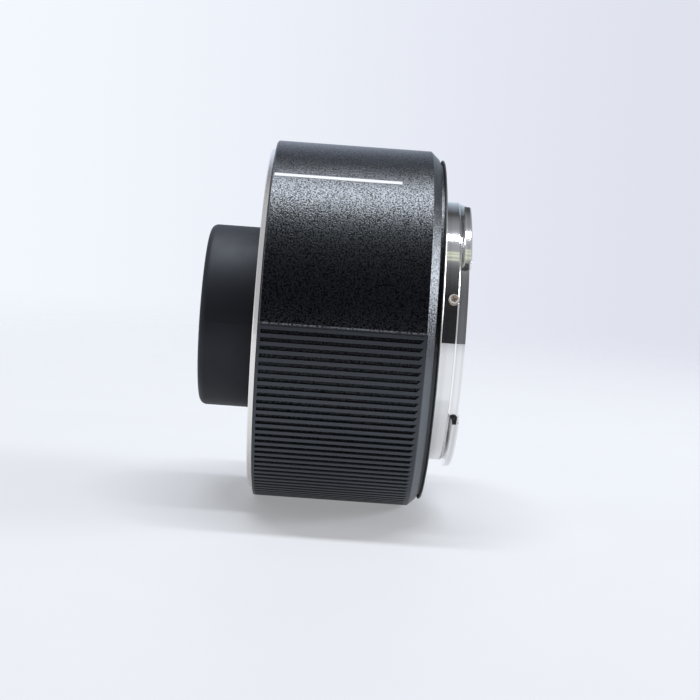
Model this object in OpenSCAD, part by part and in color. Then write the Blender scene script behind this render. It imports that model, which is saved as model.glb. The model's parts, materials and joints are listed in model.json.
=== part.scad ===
// A camera teleconverter: a short barrel with a bayonet socket in front, a bayonet plug behind,
// a lens unit whose nose reaches into the lens ahead, and a sprung lock with its release slider.
// Every piece is drawn about the optical axis with its front upwards, zero at the rear mounting
// face, and is then laid down so that the front faces -Y and the top faces +Z.

/* [Barrel] */
// Outside diameter of the barrel
barrel_d = 58; // [57:0.5:66]
// Thickness of the barrel's wall
barrel_wall = 2.2; // [2:0.1:2.4]
// Distance from the rear mounting face to the front mounting face
body_len = 28; // [27.5:0.5:34]
// Axial length of the chamfer at the barrel's rear end
rear_chamfer_len = 1.3; // [0.6:0.1:2]
// Radial drop of that chamfer
rear_chamfer_drop = 1.2; // [0.4:0.1:1.4]
// Width of the groove between the barrel's chamfer and the rear seal
seam_w = 0.55; // [0.3:0.05:0.9]
// Radial step from the barrel down to the silver front rim
rim_inset = 1.2; // [0.8:0.1:1.6]
// Thickness of the silver rim that shows ahead of the barrel
rim_show = 0.9; // [0.6:0.1:1.4]
// Radial drop of the silver rim towards its front edge
rim_taper = 0.34; // [0:0.02:0.5]

/* [Finger ribs] */
// Ribs that a full turn would hold
ribs_per_turn = 150; // [100:1:170]
// Width of one groove between two ribs
groove_w = 0.62; // [0.4:0.02:0.66]
// Depth of a groove below the rib tops
groove_depth = 0.3; // [0.15:0.05:0.4]
// Step from the plain upper barrel down to the rib tops
rib_step = 0.12; // [0.08:0.02:0.2]
// Height of the ribs' upper edge above the horizontal, in degrees
rib_edge_angle = 3.4; // [0:0.2:8]

/* [Bayonets] */
// Diameter over the claws of the bayonet
bayonet_d = 44; // [43.6:0.1:44.4]
// Radial height of a claw above its cylinder
claw_height = 0.88; // [0.7:0.02:1.3]
// Thickness of a claw
claw_t = 1.08; // [0.8:0.04:1.2]
// Reach of the plug's claws behind the rear mounting face
plug_len = 4.25; // [4:0.05:4.6]
// Wall of the plug's cylinder
plug_wall = 2.52; // [2.1:0.02:2.6]
// Thickness of the rear flange
flange_t = 2; // [1.9:0.1:2.4]
// Thickness of the front socket plate
plate_t = 2.6; // [2.3:0.1:2.8]
// Depth of the throat from the front mounting face to the front baffle
throat_depth = 5.7; // [5.4:0.1:6]
// Thickness of the bayonet spring ring
spring_ring_t = 0.3; // [0.2:0.05:0.4]

/* [Fasteners] */
// Radius of a mount screw's head
mount_head_r = 1.4; // [1.2:0.05:1.45]
// Radius of a mount screw's shank
mount_shank_r = 0.8; // [0.6:0.05:0.9]
// Length of a mount screw
mount_screw_len = 5.5; // [4:0.25:6]
// Radius of a small screw's head
small_head_r = 0.8; // [0.65:0.05:0.85]
// Height of a small screw's head
small_head_h = 0.5; // [0.3:0.05:0.6]
// Radius of a small screw's shank
small_shank_r = 0.4; // [0.3:0.05:0.45]
// Radius of the bayonet stop screw's head
stop_head_r = 0.84; // [0.7:0.02:0.9]

/* [Lens unit] */
// Diameter of the nose
nose_d = 29.5; // [29.2:0.1:30]
// Reach of the nose ahead of the front mounting face
nose_len = 9; // [8.5:0.1:10]
// Radius of the round on the nose's front edge
nose_round = 1.1; // [0.6:0.1:1.8]
// Radius of the front glass
front_glass_r = 12.3; // [12.1:0.05:12.5]
// Radius of the rear glass
rear_glass_r = 12.5; // [12.3:0.05:12.6]
// Radius of the clear opening in rings and shoulders
clear_r = 11; // [10.6:0.1:11.2]
// Thickness of the web that carries the lens unit
web_t = 2; // [1.8:0.1:2.4]

/* [Contacts] */
// Contacts in a row
contact_count = 10; // [8:1:10]
// Angle from one contact to the next, in degrees
contact_pitch = 7.2; // [6.8:0.1:7.4]
// Radius of a sprung contact pin
pin_r = 0.55; // [0.45:0.05:0.6]
// Travel of a contact pin
pin_travel = 0.8; // [0.5:0.1:0.9]
// Thickness of the circuit board
board_t = 0.8; // [0.6:0.1:1]

/* [Release] */
// Place of the release round the barrel, in degrees
release_angle = 196; // [190:1:200]
// Travel of the slider, its carriage and the lock pin
release_travel = 2; // [1.6:0.1:2.2]
// Radius of the lock pin
lock_pin_r = 1.2; // [1:0.05:1.25]
// Reach of the lock pin ahead of the front mounting face
lock_pin_show = 1.4; // [1:0.1:1.5]
// Length of the slider's finger pad
pad_len = 8; // [6:0.5:9]
// Width of the finger pad
pad_w = 11; // [9:0.5:12]
// Height of the finger pad above the barrel
pad_show = 0.9; // [0.5:0.1:1.5]

/* [Clearances] */
// Radial gap of a sliding fit
slide_gap = 0.05; // [0.03:0.01:0.06]
// Gap between fixed pieces that are fitted together
fit_gap = 0.04; // [0.02:0.01:0.05]
// Gap round the slider and its carriage
run_gap = 0.15; // [0.1:0.01:0.2]

/* [Hidden] */
$fn = 96;
contact_pins = [for (i = [1:contact_count]) str("contact_pin_", i)];
lens_count = 9;
lenses = [for (i = [1:lens_count]) str("lens_", i)];

// A cut runs this far past the face that it opens
past = 1;
bottom_angle = 270;
top_angle = 90;

// Axial stations, from the rear mounting face forwards
seal_base = 0.5;
seal_sink = 0.2;
barrel_rear = seal_base + seam_w;
chamfer_front = barrel_rear + rear_chamfer_len;
barrel_front = body_len - rim_show;
barrel_edge = 0.2;
plate_back = body_len - plate_t;
baffle_t = 0.8;
baffle_front = body_len - throat_depth;
baffle_back = baffle_front - baffle_t;
shelf_t = 2;
shelf_back = baffle_back - shelf_t;
web_rear = 8;
web_front = web_rear + web_t;
board_rear = web_front + 4.6;
board_front = board_rear + board_t;

// Radii, from the bayonet outwards and from the barrel inwards
claw_r = bayonet_d / 2;
plug_r = claw_r - claw_height;
plug_bore = plug_r - plug_wall;
throat_r = claw_r + 0.15;
tab_r = plug_r + 0.2;
chassis_front_bore = throat_r + 0.25;
chassis_bore = throat_r + 1.05;
barrel_r = barrel_d / 2;
barrel_bore = barrel_r - barrel_wall;
chassis_r = barrel_bore - fit_gap;
contact_r = plug_bore - 0.6;
nose_r = nose_d / 2;
rib_r = barrel_r - rib_step;
rim_r = barrel_r - rim_inset;
rim_bevel = 0.15;
neck_r = barrel_r - 2;
neck_wall = 0.65;
flange_r = neck_r - neck_wall - fit_gap;
seal_r = barrel_r - 1.3;
seal_bevel = 0.12;
ring_seat_r = chassis_bore + 0.1;
shelf_bore = chassis_bore - 3;
fastener_r = (chassis_bore + chassis_r) / 2 - 0.3;

// Finger ribs, counted down from the upper edge on one side round to the other side
rib_pitch = 360 / ribs_per_turn;
rib_first = rib_edge_angle - rib_pitch * 0.92;
rib_count = floor((180 + 2 * rib_first) / rib_pitch) + 1;
rib_front_strip = 0.4;
rib_rear_strip = 0.3;
rib_slant = 0.55;
edge_line_w = 0.18;
edge_line_depth = 0.12;
edge_line_angle = rib_edge_angle - rib_pitch * 0.15;
pad_clear_angle = asin((pad_w / 2 + 1.2) / barrel_r);

// Bayonet claws, each as [first angle, angle that it spans]
claws = [[33.5, 35.5], [155, 45], [273.5, 51]];
tab_sink = 0.25;
plug_end = plug_len - 0.25;
edge_bevel = 0.2;
relief_w = 0.7;
relief_depth = 0.3;
// Between the claws the plug steps down and tapers to its end
lead_w = 1.3;
lead_step = 0.12;
lead_drop = 0.35;
flange_bevel = 0.12;
finger_root = 6;
finger_end = 4;
finger_bend = 1;
finger_drop = 0.05;
finger_gap = 0.1;
shoulder_t = 1.8;
shoulder_in = plug_bore - 1.7;
stop_angle = 18;
stop_z = -1.83;
stop_show = 0.4;
stop_seat = 0.15;
stop_head_h = stop_seat + stop_show;
stop_shank = plug_wall * 0.8;
stop_turn = 20;
lock_hole_gap = 0.15;
lock_hole_depth = 1.6;

// Screw places, in degrees
mount_screw_angles = [45, 135, 225, 315];
front_baffle_angles = [20, 90, 160];
rear_baffle_angles = [20, 90, 160];
board_screw_angles = [30, 150, 270];
nose_screw_angles = [90, 210, 330];
cell_screw_angles = [30, 150, 270];
screw_sink = 0.05;
head_edge = 0.1;
small_head_bevel = small_head_h * 0.4;
small_screw_len = 2.4;
baffle_screw_r = shelf_bore + 1.1;
board_screw_r = chassis_bore - 1.8;
board_post_r = 1.3;
// A cross recess, as shares of its head's radius
cross_reach = 0.55;
cross_half_w = 0.1;
cross_depth = 0.4;

// Lens unit
nose_tip = body_len + nose_len;
nose_flange_r = nose_r + 4.2;
nose_flange_t = 1.8;
nose_screw_r = nose_r + 2.3;
web_thread = web_t * 0.6;
nose_screw_len = nose_flange_t + web_thread;
lens_gap = 0.1;
front_bore = front_glass_r + lens_gap;
cell_bore = rear_glass_r + lens_gap;
cell_wall = 1.3;
cell_spigot_r = cell_bore + cell_wall;
spigot_bore = cell_spigot_r + slide_gap;
cell_r = cell_bore + 2.4;
cell_flange_r = cell_r + 3.4;
cell_flange_t = 2;
cell_screw_r = cell_r + 1.8;
cell_screw_len = cell_flange_t + web_thread;
cell_shoulder = web_front + 6.4;
cell_front = cell_shoulder + 0.8;
tube_shoulder_t = 0.6;
tube_shoulder = cell_front + 1 + tube_shoulder_t;
nose_mouth = 0.5;
glass_rim = 0.3;
glass_recess = 0.9;
seat_gap = 0.02;
ring_t = 1.2;
ring_slot = 1;

// Each lens: middle thickness, front curve, rear curve; a curve below zero is hollow
glass = [
    [3.8, 60, 60], [1.2, -60, -45],
    [1.2, -50, -35], [6, 35, 40], [1.2, -40, 100],
    [1.2, -50, -60],
    [5, 50, 40], [1.2, -40, -80],
    [4, 60, 80]
];
// The front pair hangs from the nose's tip, the three behind it stand on the tube's shoulder,
// and the rest hang from the cell's shoulder
pair_count = 2;
front_lens_count = 5;
cement = 0.03;
// Air behind each lens of the rear cell that isn't cemented
middle_air = 0.7;
rear_air = 1.1;

function air_behind(i) =
    i == front_lens_count ? middle_air :
    i == lens_count - 2 ? rear_air :
    cement;
function glass_radius(i) = i < front_lens_count ? front_glass_r : rear_glass_r;
function rim_at(i) = glass_radius(i) - glass_rim;
function sag(curve, r) = sign(curve) * (abs(curve) - sqrt(curve * curve - r * r));
// Where a flat ring of inside radius clear_r meets a lens, counted from the middle of that side
function front_dip(i) = -min(sag(glass[i][1], clear_r), sag(glass[i][1], rim_at(i)));
function rear_dip(i) = min(sag(glass[i][2], clear_r), sag(glass[i][2], rim_at(i)));
function stands(i) = i >= pair_count && i < front_lens_count;
function glass_front(i) =
    i == 0 ? nose_tip - glass_recess :
    i == front_lens_count ? cell_shoulder - seat_gap - front_dip(i) :
    stands(i) ? glass_rear(i) + glass[i][0] :
    glass_rear(i - 1) - air_behind(i - 1);
function glass_rear(i) =
    i == front_lens_count - 1 ? tube_shoulder + seat_gap - rear_dip(i) :
    stands(i) ? glass_front(i + 1) + air_behind(i) :
    glass_front(i) - glass[i][0];
function front_at(i, r) = glass_front(i) - sag(glass[i][1], r);
function rear_at(i, r) = glass_rear(i) + sag(glass[i][2], r);
function seat_ahead(i) = glass_front(i) + front_dip(i) + seat_gap;
function seat_behind(i) = glass_rear(i) + rear_dip(i) - seat_gap;
rear_ring_z = seat_behind(lens_count - 1) - ring_t;
cell_rear = rear_ring_z - 0.8;

// Contacts
contact_span = contact_pitch * (contact_count - 1);
contact_half = contact_span / 2 + 4.6;
base_half = contact_half + 7;
contact_angles = [for (i = [0:contact_count - 1]) bottom_angle - contact_span / 2 + i * contact_pitch];
block_show = 1.3;
block_front = baffle_front + block_show;
block_rear = baffle_back - 3;
block_in = contact_r - 1.6;
block_out = contact_r + 1.6;
base_in = contact_r - 2.3;
base_out = contact_r + 1.9;
block_screw_offset = contact_half + 3.8;
block_slot_half = contact_half + 0.3;
baffle_bore = nose_r + 0.2;
board_r = chassis_bore - 0.6;
board_bore = nose_r + 0.65;
// Each chip: angle, length, width, height
chips = [[60, 5, 5, 0.9], [110, 4, 3, 0.8], [335, 3, 3, 0.7], [0, 2, 1.2, 0.8], [186, 3, 2, 1]];
chip_r = (nose_r + chassis_bore) / 2;
pin_show = pin_travel + 0.1;
pin_tip = block_front + pin_show;
pin_stop = block_front - 1.3;
pin_collar_r = pin_r + 0.3;
pin_collar_t = 0.4;
pin_pocket_r = pin_collar_r + 2 * slide_gap;
pin_tail_r = 0.3;
pin_tail = 0.7;
pin_spring_wire = 0.2;
pin_spring_gap = 0.15;
pin_spring_r = pin_pocket_r - pin_spring_gap - pin_spring_wire;
pin_spring_turns = 4;
flex_t = 0.3;
flex_slot_gap = 0.5;
front_flex_r = contact_r + 0.4;
front_flex_angle = 222;
front_flex_w = 5;
rear_flex_angle = 241;
rear_flex_w = 4.4;
rear_flex_r = shelf_bore + 0.4;
rear_block_in = cell_r + 0.3;
rear_block_out = plug_bore - 0.2;
rear_block_mid = (rear_block_in + rear_block_out) / 2;
rear_block_end = plug_end - 0.1;
rear_block_step = 0.1;
rear_slot_half = contact_half + 0.6;
rear_slot_gap = 0.2;
rear_contact_screw_len = flange_t + shoulder_t * 0.7;
rear_contact_t = 0.15;
rear_contact_size = [1.7, 1.2];
rear_baffle_t = 0.8;
rear_window = [25, 18];
rear_window_round = 2;
rear_screw_r = (shoulder_in + plug_bore) / 2 - 0.1;

// Release
release_z = 15.5;
stem_len = 4;
stem_w = 4;
pad_recess = 1;
pad_floor = barrel_r - pad_recess;
pad_grooves = 5;
pad_groove_w = 0.6;
carriage_len = 7;
carriage_w = 8;
carriage_in = chassis_bore;
pocket_in = carriage_in - 0.6;
carriage_out = chassis_r - 0.5;
carriage_rear = release_z - 2.5;
carriage_front = carriage_rear + carriage_len;
pocket_rear = carriage_rear - 2 * release_travel;
lock_pin_seat = 2.5;
lock_pin_tip = body_len + lock_pin_show;
lock_pin_bevel = 0.3;
lock_pin_step = 0.2;
lock_tip_r = lock_pin_r - lock_pin_step;
release_wire = 0.3;
release_coil_r = 1;
release_turns = 5;
slider_screw_offset = 0.95;
slider_screw_len = 4.2;
dot_r = 0.8;
dot_depth = 0.3;

// Shared shapes

module placed() {
    rotate([90, 0, 0]) children();
}

module at_polar(angle, r, z) {
    rotate([0, 0, angle]) translate([r, 0, z]) children();
}

module ring(r_out, r_in, z_low, z_high) {
    rotate_extrude() translate([r_in, z_low]) square([r_out - r_in, z_high - z_low]);
}

module sector(r_out, r_in, z_low, z_high, start, span) {
    rotate([0, 0, start])
        rotate_extrude(angle = span)
            translate([r_in, z_low]) square([r_out - r_in, z_high - z_low]);
}

// A sector centred on an angle, half of its span to each side
module arc_block(r_out, r_in, z_low, z_high, middle, half) {
    sector(r_out, r_in, z_low, z_high, middle - half, 2 * half);
}

// A block square to the radius at an angle: from r_in to r_out, w wide
module radial_block(angle, r_in, r_out, w, z_low, z_high) {
    rotate([0, 0, angle])
        translate([r_in, -w / 2, z_low]) cube([r_out - r_in, w, z_high - z_low]);
}

module cross_recess(head_r, depth) {
    for (turn = [0, 90])
        rotate([0, 0, turn])
            translate([-head_r * cross_reach, -head_r * cross_half_w, -depth])
                cube([2 * head_r * cross_reach, 2 * head_r * cross_half_w, depth + past]);
}

// Countersunk screw, its head's face at zero and its shank downwards
module mount_screw() {
    cone_end = head_edge + mount_head_r - mount_shank_r;
    difference() {
        rotate_extrude() polygon([
            [0, 0], [mount_head_r, 0], [mount_head_r, -head_edge], [mount_shank_r, -cone_end],
            [mount_shank_r, -mount_screw_len], [0, -mount_screw_len]
        ]);
        cross_recess(mount_head_r, mount_head_r * cross_depth);
    }
}

module mount_screw_hole() {
    head = mount_head_r + fit_gap;
    shank = mount_shank_r + fit_gap;
    cone_end = head_edge + fit_gap + head - shank;
    end = mount_screw_len + fit_gap;
    rotate_extrude() polygon([
        [0, past], [head, past], [head, -head_edge - fit_gap], [shank, -cone_end], [shank, -end], [0, -end]
    ]);
}

// Pan-head screw that sits on zero, its shank downwards
module small_screw(length) {
    difference() {
        rotate_extrude() polygon([
            [0, small_head_h], [small_head_r - small_head_bevel, small_head_h],
            [small_head_r, small_head_h - small_head_bevel], [small_head_r, 0],
            [small_shank_r, 0], [small_shank_r, -length], [0, -length]
        ]);
        translate([0, 0, small_head_h]) cross_recess(small_head_r, small_head_r * cross_depth);
    }
}

module small_screw_hole(length) {
    translate([0, 0, -length - fit_gap])
        cylinder(r = small_shank_r + fit_gap, h = length + fit_gap + past);
}

// A coil of wire between two seats, as one tube swept along a helix
module coil(coil_r, wire_r, turns, z_low, z_high) {
    sides = 6;
    per_turn = 8;
    rings = turns * per_turn;
    rise = z_high - z_low - 2 * wire_r - 2 * seat_gap;
    start = z_low + wire_r + seat_gap;
    points = [
        for (i = [0:rings], j = [0:sides - 1])
            let (turn = 360 * i / per_turn, round = 360 * j / sides, r = coil_r + wire_r * cos(round))
                [r * cos(turn), r * sin(turn), start + rise * i / rings + wire_r * sin(round)]
    ];
    last = rings * sides;
    walls = [
        for (i = [0:rings - 1], j = [0:sides - 1])
            let (a = i * sides + j, b = i * sides + (j + 1) % sides)
                each [[a, b, b + sides], [a, b + sides, a + sides]]
    ];
    near_end = [for (j = [1:sides - 2]) [0, j + 1, j]];
    far_end = [for (j = [1:sides - 2]) [last, last + j, last + j + 1]];
    polyhedron(points, concat(walls, near_end, far_end), convexity = 10);
}

module curve_circle(r) {
    circle(r = r, $fn = 720);
}

module lens(i) {
    r = glass_radius(i);
    rim = rim_at(i);
    bulge_front = glass[i][1] > 0;
    bulge_rear = glass[i][2] > 0;
    top = bulge_front ? glass_front(i) + past : front_at(i, rim);
    foot = bulge_rear ? glass_rear(i) - past : rear_at(i, rim);
    placed() color("lightcyan", 0.5) rotate_extrude() difference() {
        intersection() {
            translate([0, foot]) square([r, top - foot]);
            if (bulge_front) translate([0, glass_front(i) - glass[i][1]]) curve_circle(glass[i][1]);
            if (bulge_rear) translate([0, glass_rear(i) + glass[i][2]]) curve_circle(glass[i][2]);
        }
        if (!bulge_front) translate([0, glass_front(i) - glass[i][1]]) curve_circle(-glass[i][1]);
        if (!bulge_rear) translate([0, glass_rear(i) + glass[i][2]]) curve_circle(-glass[i][2]);
    }
}

// Casing

// Grooves end square in front and slanted behind, longer on the side that faces up
module finger_groove(angle) {
    up = cos(angle) > 0 ? 1 : -1;
    half = groove_w / 2;
    rear = chamfer_front + rib_rear_strip;
    front = barrel_front - rib_front_strip;
    rotate([0, 0, angle]) translate([rib_r - groove_depth, 0, 0]) rotate([90, 0, 90])
        linear_extrude(groove_depth + past)
            polygon([
                [-up * half, front], [up * half, front], [up * half, rear], [-up * half, rear + rib_slant]
            ]);
}

// Thin line along each upper edge of the rib zone
module rib_edge_line(angle) {
    radial_block(angle, rib_r - edge_line_depth, barrel_r + past, edge_line_w,
        chamfer_front + rib_rear_strip, barrel_front - rib_front_strip);
}

module outer_barrel() {
    lip_bore = flange_r + fit_gap;
    pad_half = pad_len / 2 + run_gap;
    stem_half = stem_len / 2 + run_gap;
    placed() color([0.09, 0.09, 0.1]) difference() {
        rotate_extrude() polygon([
            [barrel_bore, flange_t], [barrel_bore, barrel_front], [barrel_r - barrel_edge, barrel_front],
            [barrel_r, barrel_front - barrel_edge], [barrel_r, chamfer_front],
            [barrel_r - rear_chamfer_drop, barrel_rear], [neck_r, barrel_rear], [neck_r, seal_base],
            [lip_bore, seal_base], [lip_bore, flange_t]
        ]);
        sector(barrel_r + past, rib_r, barrel_rear, barrel_front + past,
            180 - rib_edge_angle, 180 + 2 * rib_edge_angle);
        for (i = [0:rib_count - 1]) {
            angle = rib_first - i * rib_pitch;
            if (abs(angle + 360 - release_angle) > pad_clear_angle) finger_groove(angle);
        }
        for (angle = [edge_line_angle, 180 - edge_line_angle]) rib_edge_line(angle);
        radial_block(release_angle, pad_floor, barrel_r + past, pad_w + 2 * run_gap,
            release_z - pad_half - release_travel, release_z + pad_half);
        radial_block(release_angle, barrel_bore - past, barrel_r, stem_w + 2 * run_gap,
            release_z - stem_half - release_travel, release_z + stem_half);
    }
}

module chassis() {
    ring_seat = plate_back - spring_ring_t;
    placed() color([0.2, 0.2, 0.21]) difference() {
        union() {
            rotate_extrude() polygon([
                [chassis_r, flange_t], [chassis_r, plate_back], [ring_seat_r, plate_back],
                [ring_seat_r, ring_seat], [chassis_front_bore, ring_seat], [chassis_front_bore, baffle_back],
                [shelf_bore, baffle_back], [shelf_bore, shelf_back], [chassis_bore, shelf_back],
                [chassis_bore, web_front], [nose_r + fit_gap, web_front], [nose_r + fit_gap, web_rear],
                [chassis_bore, web_rear], [chassis_bore, flange_t]
            ]);
            for (angle = board_screw_angles)
                at_polar(angle, board_screw_r, web_front - past)
                    cylinder(r = board_post_r, h = board_rear - web_front + past);
        }
        for (angle = mount_screw_angles) {
            at_polar(angle, fastener_r, body_len - screw_sink) mount_screw_hole();
            at_polar(angle, fastener_r, screw_sink) rotate([180, 0, 0]) mount_screw_hole();
        }
        for (angle = front_baffle_angles)
            at_polar(angle, baffle_screw_r, baffle_front) small_screw_hole(small_screw_len);
        for (angle = board_screw_angles)
            at_polar(angle, board_screw_r, board_front) small_screw_hole(small_screw_len);
        for (angle = nose_screw_angles)
            at_polar(angle, nose_screw_r, web_front + nose_flange_t) small_screw_hole(nose_screw_len);
        for (angle = cell_screw_angles)
            at_polar(angle, cell_screw_r, web_rear - cell_flange_t)
                rotate([180, 0, 0]) small_screw_hole(cell_screw_len);
        radial_block(release_angle, pocket_in, barrel_bore + past, carriage_w + 2 * run_gap,
            pocket_rear, carriage_front + run_gap);
        at_polar(release_angle, fastener_r, release_z)
            cylinder(r = lock_pin_r + slide_gap, h = body_len - release_z);
        radial_block(rear_flex_angle, rear_flex_r - flex_slot_gap, rear_flex_r + flex_t + flex_slot_gap,
            rear_flex_w + 2 * flex_slot_gap, web_rear - past, web_front + past);
    }
}

module front_bayonet() {
    placed() color([0.78, 0.78, 0.8]) difference() {
        union() {
            rotate_extrude() polygon([
                [throat_r, plate_back], [chassis_r, plate_back], [chassis_r, barrel_front],
                [rim_r - rim_bevel, barrel_front], [rim_r, barrel_front + rim_bevel],
                [rim_r - rim_taper, body_len - rim_bevel], [rim_r - rim_taper - rim_bevel, body_len],
                [throat_r + edge_bevel, body_len], [throat_r, body_len - edge_bevel]
            ]);
            for (claw = claws)
                sector(throat_r + edge_bevel, tab_r, plate_back, body_len - tab_sink, claw[0], claw[1]);
        }
        for (angle = mount_screw_angles)
            at_polar(angle, fastener_r, body_len - screw_sink) mount_screw_hole();
        at_polar(release_angle, fastener_r, plate_back - past)
            cylinder(r = lock_pin_r + slide_gap, h = plate_t + 2 * past);
        at_polar(top_angle, fastener_r, body_len - dot_depth) cylinder(r = dot_r, h = dot_depth + past);
    }
}

module front_mount_screws() {
    placed() color("silver")
        for (angle = mount_screw_angles) at_polar(angle, fastener_r, body_len - screw_sink) mount_screw();
}

// One stamped ring with a sprung finger behind each tab, bent back from its root
module bayonet_spring_ring() {
    ring_in = chassis_front_bore + finger_gap;
    finger_in = tab_r + finger_gap;
    low = plate_back - spring_ring_t;
    placed() color("lightsteelblue") union() {
        ring(ring_seat_r - fit_gap, ring_in, low, plate_back);
        for (claw = claws) {
            finger_span = claw[1] - finger_root / 2 - finger_end;
            sector(ring_in + 2 * finger_gap, finger_in + finger_gap, low, plate_back, claw[0], finger_root);
            rotate([0, 0, claw[0] + finger_root / 2])
                translate([0, 0, low - finger_drop])
                    rotate([-finger_bend, 0, 0])
                        sector(throat_r, finger_in, 0, spring_ring_t, 0, finger_span);
        }
    }
}

module front_baffle() {
    placed() color([0.08, 0.08, 0.08]) difference() {
        ring(chassis_front_bore - fit_gap, baffle_bore, baffle_back, baffle_front);
        arc_block(block_out + fit_gap, block_in - fit_gap, baffle_back - past, baffle_front + past,
            bottom_angle, block_slot_half);
        for (angle = front_baffle_angles)
            at_polar(angle, baffle_screw_r, baffle_front) small_screw_hole(small_screw_len);
        for (side = [-1, 1])
            at_polar(bottom_angle + side * block_screw_offset, contact_r, baffle_front)
                small_screw_hole(small_screw_len);
    }
}

module front_baffle_screws() {
    placed() color("dimgray")
        for (angle = front_baffle_angles)
            at_polar(angle, baffle_screw_r, baffle_front) small_screw(small_screw_len);
}

// Contacts and electronics

module front_contact_block() {
    placed() color([0.1, 0.1, 0.1]) difference() {
        union() {
            arc_block(base_out, base_in, block_rear, baffle_back, bottom_angle, base_half);
            arc_block(block_out, block_in, block_rear, block_front, bottom_angle, contact_half);
        }
        for (angle = contact_angles) {
            at_polar(angle, contact_r, block_rear)
                cylinder(r = pin_r + slide_gap, h = block_front - block_rear + past);
            at_polar(angle, contact_r, block_rear - past)
                cylinder(r = pin_pocket_r, h = pin_stop - block_rear + past);
        }
        for (side = [-1, 1])
            at_polar(bottom_angle + side * block_screw_offset, contact_r, baffle_front)
                small_screw_hole(small_screw_len);
    }
}

module contact_block_screws() {
    placed() color("dimgray")
        for (side = [-1, 1])
            at_polar(bottom_angle + side * block_screw_offset, contact_r, baffle_front)
                small_screw(small_screw_len);
}

module contact_pin(i) {
    collar = pin_stop - pin_collar_t;
    placed() color("gold") at_polar(contact_angles[i], contact_r, 0) {
        translate([0, 0, collar]) cylinder(r = pin_collar_r, h = pin_collar_t);
        translate([0, 0, collar]) cylinder(r = pin_r, h = pin_tip - pin_r - collar);
        translate([0, 0, pin_tip - pin_r]) sphere(r = pin_r);
        translate([0, 0, collar - pin_tail]) cylinder(r = pin_tail_r, h = pin_tail + pin_collar_t);
    }
}

module contact_springs() {
    collar = pin_stop - pin_collar_t;
    placed() color("silver")
        for (angle = contact_angles)
            at_polar(angle, contact_r, 0)
                coil(pin_spring_r, pin_spring_wire / 2, pin_spring_turns, block_rear, collar);
}

module front_flex_cable() {
    half_angle = asin(front_flex_w / 2 / contact_r);
    start = front_flex_angle - half_angle;
    placed() color([0.55, 0.35, 0.1]) union() {
        sector(base_out, base_in, block_rear - flex_t, block_rear,
            start, bottom_angle + contact_half - start);
        radial_block(front_flex_angle, front_flex_r, front_flex_r + flex_t, front_flex_w,
            board_front, block_rear - flex_t / 2);
    }
}

module circuit_board() {
    placed() color([0.05, 0.3, 0.12]) difference() {
        ring(board_r, board_bore, board_rear, board_front);
        for (angle = board_screw_angles)
            at_polar(angle, board_screw_r, board_front) small_screw_hole(small_screw_len);
    }
}

module board_chips() {
    placed() color([0.12, 0.12, 0.13])
        for (chip = chips)
            at_polar(chip[0], chip_r, board_front)
                translate([-chip[1] / 2, -chip[2] / 2, 0]) cube([chip[1], chip[2], chip[3]]);
}

module board_screws() {
    placed() color("silver")
        for (angle = board_screw_angles)
            at_polar(angle, board_screw_r, board_front) small_screw(small_screw_len);
}

// Lens unit

module nose_tube() {
    bore_end = nose_tip - nose_mouth;
    mouth = front_bore + nose_mouth;
    placed() color([0.07, 0.07, 0.07]) difference() {
        rotate_extrude() difference() {
            union() {
                translate([0, web_rear]) square([nose_r, nose_tip - nose_round - web_rear]);
                translate([0, web_rear]) square([nose_r - nose_round, nose_tip - web_rear]);
                translate([nose_r - nose_round, nose_tip - nose_round]) circle(r = nose_round);
                translate([0, web_front]) square([nose_flange_r, nose_flange_t]);
            }
            translate([-past, tube_shoulder]) square([front_bore + past, nose_tip]);
            translate([-past, web_rear - past]) square([clear_r + past, nose_tip]);
            translate([-past, web_rear - past])
                square([spigot_bore + past, tube_shoulder - tube_shoulder_t - web_rear + past]);
            polygon([[front_bore - past, bore_end], [front_bore, bore_end], [mouth, nose_tip],
                [mouth, nose_tip + past], [front_bore - past, nose_tip + past]]);
        }
        for (angle = nose_screw_angles)
            at_polar(angle, nose_screw_r, web_front + nose_flange_t) small_screw_hole(nose_flange_t + past);
    }
}

module nose_tube_screws() {
    placed() color("silver")
        for (angle = nose_screw_angles)
            at_polar(angle, nose_screw_r, web_front + nose_flange_t) small_screw(nose_screw_len);
}

// Threaded ring with two slots for a spanner
module retaining_ring(bore, z_low, slot_side) {
    slot_z = slot_side > 0 ? z_low + ring_t / 2 : z_low - past;
    placed() color([0.06, 0.06, 0.06]) difference() {
        ring(bore - fit_gap, clear_r, z_low, z_low + ring_t);
        translate([-bore - past, -ring_slot / 2, slot_z])
            cube([2 * (bore + past), ring_slot, ring_t / 2 + past]);
    }
}

module front_retaining_ring() {
    retaining_ring(front_bore, seat_ahead(0), 1);
}

module rear_retaining_ring() {
    retaining_ring(cell_bore, rear_ring_z, -1);
}

// Ring that holds lens i and the one behind it apart
module spacer(i, bore) {
    placed() color([0.15, 0.15, 0.15]) ring(bore - fit_gap, clear_r, seat_ahead(i + 1), seat_behind(i));
}

module front_spacer() {
    spacer(pair_count - 1, front_bore);
}

module middle_spacer() {
    spacer(front_lens_count, cell_bore);
}

module rear_spacer() {
    spacer(lens_count - 2, cell_bore);
}

module rear_lens_cell() {
    placed() color([0.12, 0.12, 0.12]) difference() {
        rotate_extrude() polygon([
            [cell_bore, cell_rear], [cell_r, cell_rear], [cell_r, web_rear - cell_flange_t],
            [cell_flange_r, web_rear - cell_flange_t], [cell_flange_r, web_rear], [cell_spigot_r, web_rear],
            [cell_spigot_r, cell_front], [clear_r, cell_front], [clear_r, cell_shoulder],
            [cell_bore, cell_shoulder]
        ]);
        for (angle = cell_screw_angles)
            at_polar(angle, cell_screw_r, web_rear - cell_flange_t)
                rotate([180, 0, 0]) small_screw_hole(cell_flange_t + past);
    }
}

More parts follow.
